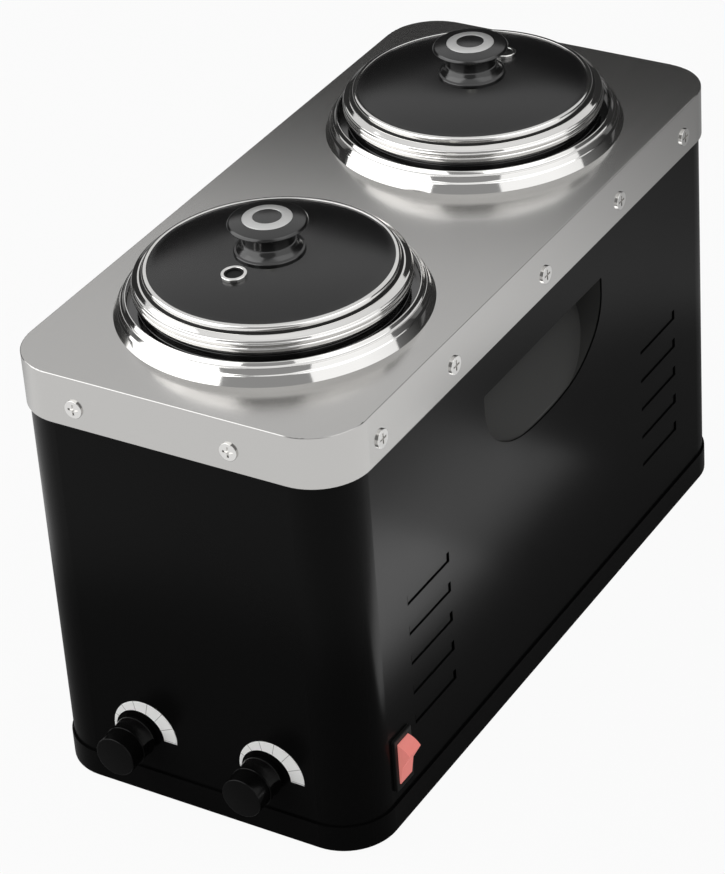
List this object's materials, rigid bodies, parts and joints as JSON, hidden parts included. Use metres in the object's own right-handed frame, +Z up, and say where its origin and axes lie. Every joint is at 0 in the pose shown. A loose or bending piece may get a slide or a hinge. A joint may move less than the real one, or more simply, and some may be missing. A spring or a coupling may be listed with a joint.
{
  "type": "twin-pot milk boiler",
  "caption": "Countertop electric milk boiler: lift-out round pots with knobbed glass lids in a long black case with a brushed steel cover, front control knobs and a side rocker switch.",
  "frame": {"origin": "on the surface it stands on, at the middle of the four feet, which is below the middle of the case", "axes": "+X to the right seen from the front, +Y from front to back along the length, +Z up"},
  "size_m": [0.2082, 0.4658, 0.3146],
  "materials": {
    "black_paint": "satin gloss black paint on sheet steel",
    "brushed_stainless": "fine straight brush lines along the length",
    "polished_stainless": "mirror polished stainless steel",
    "plain_stainless": "plain rolled stainless steel",
    "cast_aluminium": "as cast",
    "zinc_steel": "zinc plated",
    "screw_steel": "bright stainless flat heads",
    "mineral_wool": "loose fibre felt",
    "dark_phenolic": "moulded phenolic",
    "brass": "turned",
    "copper": "drawn copper tube",
    "smoked_glass": "dark tempered glass, glossy",
    "black_phenolic": "glossy black phenolic",
    "silver_inlay": "spun bright aluminium",
    "rubber_black": "matt rubber",
    "white_enamel": "white printed plate",
    "black_nylon": "fine matt moulding",
    "red_plastic": "translucent red moulding",
    "cream_plastic": "moulded nylon",
    "lead_silicone": "silicone insulated leads"
  },
  "bodies": {
    "case": {"base_tray": "black_paint", "body_shell": "black_paint", "cable_gland": "black_nylon", "capillary_left": "copper", "capillary_right": "copper", "clamp_nut_front": "zinc_steel", "clamp_nut_rear": "zinc_steel", "collar_front": "polished_stainless", "collar_rear": "polished_stainless", "cover_screws": "screw_steel", "dial_left": "white_enamel", "dial_right": "white_enamel", "feet": "rubber_black", "foot_screws": "zinc_steel", "gland_nut": "black_nylon", "handle_cup_left": "black_nylon", "handle_cup_right": "black_nylon", "heater_clamp_front": "zinc_steel", "heater_clamp_rear": "zinc_steel", "heater_plate_front": "cast_aluminium", "heater_plate_rear": "cast_aluminium", "insulation_front": "mineral_wool", "insulation_rear": "mineral_wool", "rear_panel": "black_paint", "rear_panel_screws": "zinc_steel", "switch_housing": "black_nylon", "terminal_block": "cream_plastic", "thermal_cutout_front": "dark_phenolic", "thermal_cutout_rear": "dark_phenolic", "thermostat_left": "dark_phenolic", "thermostat_nut_left": "brass", "thermostat_nut_right": "brass", "thermostat_right": "dark_phenolic", "top_cover": "brushed_stainless", "well_front": "plain_stainless", "well_rear": "plain_stainless", "wiring": "lead_silicone"},
    "pot_front": {"pot_front": "polished_stainless"},
    "pot_rear": {"pot_rear": "polished_stainless"},
    "lid_front": {"lid_glass_front": "smoked_glass", "lid_rim_front": "polished_stainless", "lid_knob_front": "black_phenolic", "lid_knob_ring_front": "silver_inlay", "lid_screw_front": "zinc_steel", "lid_washer_front": "rubber_black", "lid_vent_front": "polished_stainless"},
    "lid_rear": {"lid_glass_rear": "smoked_glass", "lid_rim_rear": "polished_stainless", "lid_knob_rear": "black_phenolic", "lid_knob_ring_rear": "silver_inlay", "lid_screw_rear": "zinc_steel", "lid_washer_rear": "rubber_black", "lid_vent_rear": "polished_stainless"},
    "knob_left": {"control_knob_left": "black_phenolic", "thermostat_shaft_left": "zinc_steel"},
    "knob_right": {"control_knob_right": "black_phenolic", "thermostat_shaft_right": "zinc_steel"},
    "rocker": {"switch_rocker": "red_plastic"}
  },
  "joints": [
    {"name": "pot_front_lift", "type": "slide", "parent": "case", "child": "pot_front", "axis": [0, 0, 1], "range_m": [0, 0.19]},
    {"name": "lid_front_lift", "type": "slide", "parent": "pot_front", "child": "lid_front", "axis": [0, 0, 1], "range_m": [0, 0.08]},
    {"name": "pot_rear_lift", "type": "slide", "parent": "case", "child": "pot_rear", "axis": [0, 0, 1], "range_m": [0, 0.19]},
    {"name": "lid_rear_lift", "type": "slide", "parent": "pot_rear", "child": "lid_rear", "axis": [0, 0, 1], "range_m": [0, 0.08]},
    {"name": "knob_left_turn", "type": "hinge", "parent": "case", "child": "knob_left", "pos_m": [-0.0394, -0.21285, 0.045], "axis": [0, 1, 0], "range_deg": [0, 180]},
    {"name": "knob_right_turn", "type": "hinge", "parent": "case", "child": "knob_right", "pos_m": [0.0394, -0.21285, 0.045], "axis": [0, 1, 0], "range_deg": [0, 180]},
    {"name": "rocker_tip", "type": "hinge", "parent": "case", "child": "rocker", "pos_m": [0.09625, -0.1727, 0.0463], "axis": [0, -1, 0], "range_deg": [0, 36]}
  ]
}
